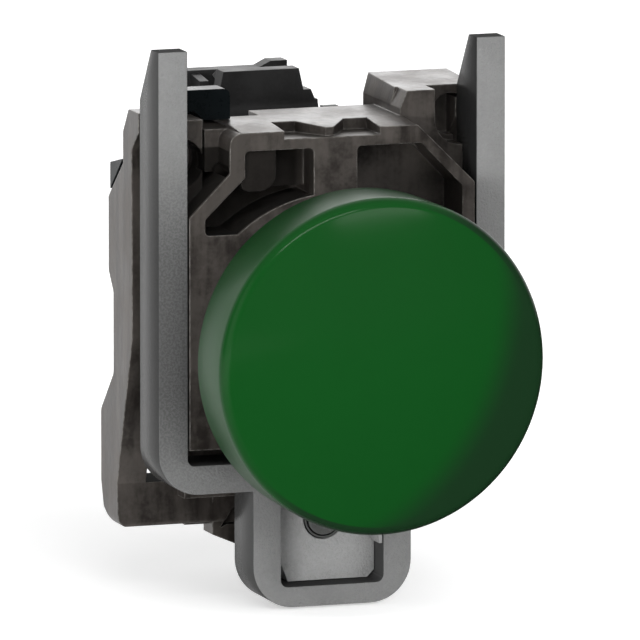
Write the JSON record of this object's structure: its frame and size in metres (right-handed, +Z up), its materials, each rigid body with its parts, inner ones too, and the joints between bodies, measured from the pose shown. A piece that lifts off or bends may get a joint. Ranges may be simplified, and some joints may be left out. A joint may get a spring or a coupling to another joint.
{
  "type": "panel pilot light",
  "caption": "Round green pilot light for a 22 mm panel hole, with cast fixing collar, clamping stirrup, lock lever and a clip-on light block behind.",
  "frame": {"origin": "on the lens axis, at the panel's front face (the back of the head's gasket)", "axes": "+Y along the lens axis, back through the panel; +Z up as mounted; +X to the right seen from the front"},
  "size_m": [0.03, 0.053, 0.0466],
  "materials": {
    "lens_green": "smooth, translucent green",
    "cast_metal": "cast, mottled grey",
    "stirrup_metal": "satin, lightly hammered",
    "screw_metal": "plated",
    "plate_metal": "plated",
    "head_metal": "satin",
    "ring_black": "satin black",
    "block_black": "satin black",
    "seal_rubber": "matt",
    "diffuser_white": "translucent white",
    "guide_clear": "clear",
    "led_clear": "clear, tinted",
    "board_green": "lacquered",
    "part_black": "moulded",
    "resistor_tan": "lacquered",
    "capacitor_blue": "dipped",
    "terminal_brass": "bright"
  },
  "bodies": {
    "collar": {"collar_body": "cast_metal", "head_body": "head_metal", "lens": "lens_green", "lens_seal": "seal_rubber", "diffuser": "diffuser_white", "panel_gasket": "seal_rubber", "block_housing": "block_black", "block_cover": "block_black", "circuit_board": "board_green", "led": "led_clear", "light_guide": "guide_clear", "rectifier": "part_black", "resistor": "resistor_tan", "capacitor": "capacitor_blue", "terminal_strip_top": "terminal_brass", "terminal_strip_bottom": "terminal_brass"},
    "stirrup": {"stirrup": "stirrup_metal", "clamp_plate": "plate_metal"},
    "clamp_screw": {"clamp_screw": "screw_metal"},
    "lock_ring": {"lock_ring": "ring_black"},
    "clamp_top": {"terminal_clamp_top": "screw_metal"},
    "screw_top": {"terminal_screw_top": "screw_metal"},
    "clamp_bottom": {"terminal_clamp_bottom": "screw_metal"},
    "screw_bottom": {"terminal_screw_bottom": "screw_metal"}
  },
  "joints": [
    {"name": "stirrup_slide", "type": "slide", "parent": "collar", "child": "stirrup", "axis": [0, -1, 0], "range_m": [0, 0.005]},
    {"name": "clamp_screw_turn", "type": "hinge", "parent": "stirrup", "child": "clamp_screw", "pos_m": [0, 0.025, -0.015], "axis": [0, -1, 0], "range_deg": [0, 3060]},
    {"name": "lock_ring_turn", "type": "hinge", "parent": "collar", "child": "lock_ring", "pos_m": [0, 0.0165, 0], "axis": [0, 1, 0], "range_deg": [0, 25]},
    {"name": "clamp_top_slide", "type": "slide", "parent": "collar", "child": "clamp_top", "axis": [0, -1, 0], "range_m": [0, 0.0018]},
    {"name": "screw_top_turn", "type": "hinge", "parent": "clamp_top", "child": "screw_top", "pos_m": [0, 0.038, 0.0096], "axis": [0, -1, 0], "range_deg": [0, 1500]},
    {"name": "clamp_bottom_slide", "type": "slide", "parent": "collar", "child": "clamp_bottom", "axis": [0, -1, 0], "range_m": [0, 0.0018]},
    {"name": "screw_bottom_turn", "type": "hinge", "parent": "clamp_bottom", "child": "screw_bottom", "pos_m": [0, 0.038, -0.0065], "axis": [0, -1, 0], "range_deg": [0, 1500]}
  ],
  "couplings": [
    {"joint": "clamp_screw_turn", "follows": "stirrup_slide", "rad_per_m": 10472},
    {"joint": "screw_top_turn", "follows": "clamp_top_slide", "rad_per_m": 13963},
    {"joint": "screw_bottom_turn", "follows": "clamp_bottom_slide", "rad_per_m": 13963}
  ]
}
